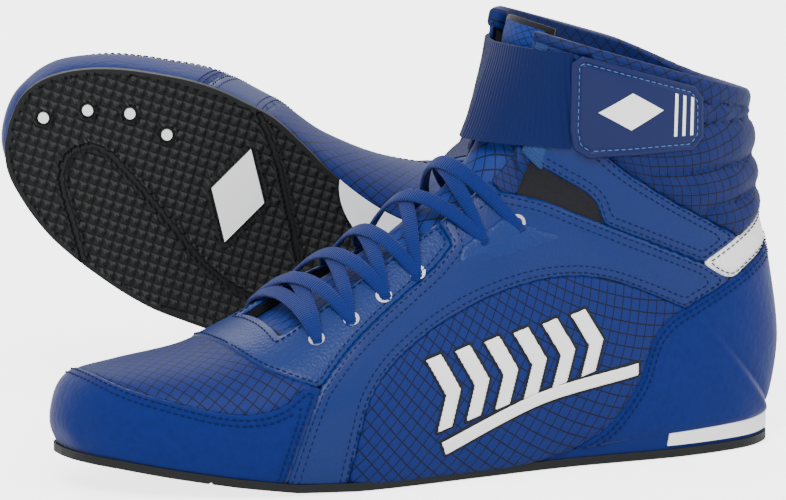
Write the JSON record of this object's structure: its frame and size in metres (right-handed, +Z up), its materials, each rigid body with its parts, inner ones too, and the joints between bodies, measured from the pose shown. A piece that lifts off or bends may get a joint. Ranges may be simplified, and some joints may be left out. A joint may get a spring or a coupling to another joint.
{
  "type": "boxing boots",
  "caption": "Pair of high laced boxing boots with a thin treaded sole, padded shaft, elastic ankle strap with a peel-off tab and a tongue; one boot stands, the other lies tilted behind it",
  "frame": {"origin": "on the floor, in the middle of the left boot's flat tread, under the ankle", "axes": "+X from the left boot's toe to its heel, +Y to its inner side and the right boot, +Z up"},
  "size_m": [0.356, 0.3036, 0.1764],
  "materials": {
    "rubber_black": "matte moulded rubber",
    "white_plastic": "smooth white",
    "blue_foam": "moulded foam, satin",
    "board": "pressed fibre board",
    "foam": "cloth covered foam",
    "stiffener": "thermoplastic sheet",
    "lining": "black mesh over foam",
    "ripstop": "ripstop nylon",
    "suede": "suede, short nap",
    "synthetic": "smooth coated synthetic",
    "textured_synthetic": "grained synthetic",
    "elastic_black": "black woven elastic",
    "white_synthetic": "white coated synthetic",
    "tongue": "padded textile",
    "eyelet_metal": "blue lacquered ring",
    "lace": "flat woven lace",
    "elastic": "ribbed woven elastic",
    "tab_rubber": "moulded soft rubber",
    "hook_loop": "hook and loop pile"
  },
  "bodies": {
    "left_boot": {"left_heel_stripe": "white_synthetic", "left_toe_rand": "suede", "left_gores": "elastic_black", "left_heel_counter": "synthetic", "left_side_panels": "ripstop", "left_ankle_overlays": "suede", "left_vamp": "ripstop", "left_shaft": "ripstop", "left_eyelets": "eyelet_metal", "left_eyestays": "textured_synthetic", "left_arch_bands": "synthetic", "left_toe_puff": "stiffener", "left_heel_stiffener": "stiffener", "left_lining": "lining", "left_lace": "lace", "left_loop_pad": "hook_loop", "left_side_graphic": "white_plastic", "left_arch_shank": "white_plastic", "left_pivot_dots": "white_plastic", "left_sole_badge": "white_plastic", "left_outsole": "rubber_black", "left_wedge": "blue_foam", "left_heel_strip": "white_plastic", "left_insole_board": "board", "left_footbed": "foam"},
    "left_tongue": {"left_tongue": "tongue"},
    "left_strap": {"left_strap_elastic": "elastic"},
    "left_tab": {"left_strap_tab": "tab_rubber", "left_hook_pad": "hook_loop", "left_tab_badge": "white_plastic"},
    "right_boot": {"right_heel_stripe": "white_synthetic", "right_toe_rand": "suede", "right_gores": "elastic_black", "right_heel_counter": "synthetic", "right_side_panels": "ripstop", "right_ankle_overlays": "suede", "right_vamp": "ripstop", "right_shaft": "ripstop", "right_eyelets": "eyelet_metal", "right_eyestays": "textured_synthetic", "right_arch_bands": "synthetic", "right_toe_puff": "stiffener", "right_heel_stiffener": "stiffener", "right_lining": "lining", "right_lace": "lace", "right_loop_pad": "hook_loop", "right_side_graphic": "white_plastic", "right_arch_shank": "white_plastic", "right_pivot_dots": "white_plastic", "right_sole_badge": "white_plastic", "right_outsole": "rubber_black", "right_wedge": "blue_foam", "right_heel_strip": "white_plastic", "right_insole_board": "board", "right_footbed": "foam"},
    "right_tongue": {"right_tongue": "tongue"},
    "right_strap": {"right_strap_elastic": "elastic"},
    "right_tab": {"right_strap_tab": "tab_rubber", "right_hook_pad": "hook_loop", "right_tab_badge": "white_plastic"}
  },
  "joints": [
    {"name": "left_tongue_flex", "type": "hinge", "parent": "left_boot", "child": "left_tongue", "pos_m": [-0.15661, 0.0056, 0.05666], "axis": [0, 1, 0], "range_deg": [0, 7]},
    {"name": "left_strap_hinge", "type": "hinge", "parent": "left_boot", "child": "left_strap", "pos_m": [-0.04, 0.02858, 0.1465], "axis": [-0.1591, -0.1186, -0.9801], "range_deg": [0, 110]},
    {"name": "left_tab_peel", "type": "hinge", "parent": "left_strap", "child": "left_tab", "pos_m": [-0.033, -0.03444, 0.1445], "axis": [0, 0.0655, -0.9979], "range_deg": [0, 60]},
    {"name": "right_tongue_flex", "type": "hinge", "parent": "right_boot", "child": "right_tongue", "pos_m": [-0.09856, 0.19333, 0.08901], "axis": [-0.2173, 0.1663, -0.9618], "range_deg": [0, 7]},
    {"name": "right_strap_hinge", "type": "hinge", "parent": "right_boot", "child": "right_strap", "pos_m": [0.04698, 0.22502, 0.08549], "axis": [0.5792, 0.8045, 0.1315], "range_deg": [0, 110]},
    {"name": "right_tab_peel", "type": "hinge", "parent": "right_strap", "child": "right_tab", "pos_m": [0.03861, 0.23094, 0.02289], "axis": [0.4067, 0.9136, -0.0021], "range_deg": [0, 60]},
    {"name": "right_boot_lift", "type": "slide", "parent": "left_boot", "child": "right_boot", "axis": [0, 0, 1], "range_m": [0, 0.2]}
  ]
}
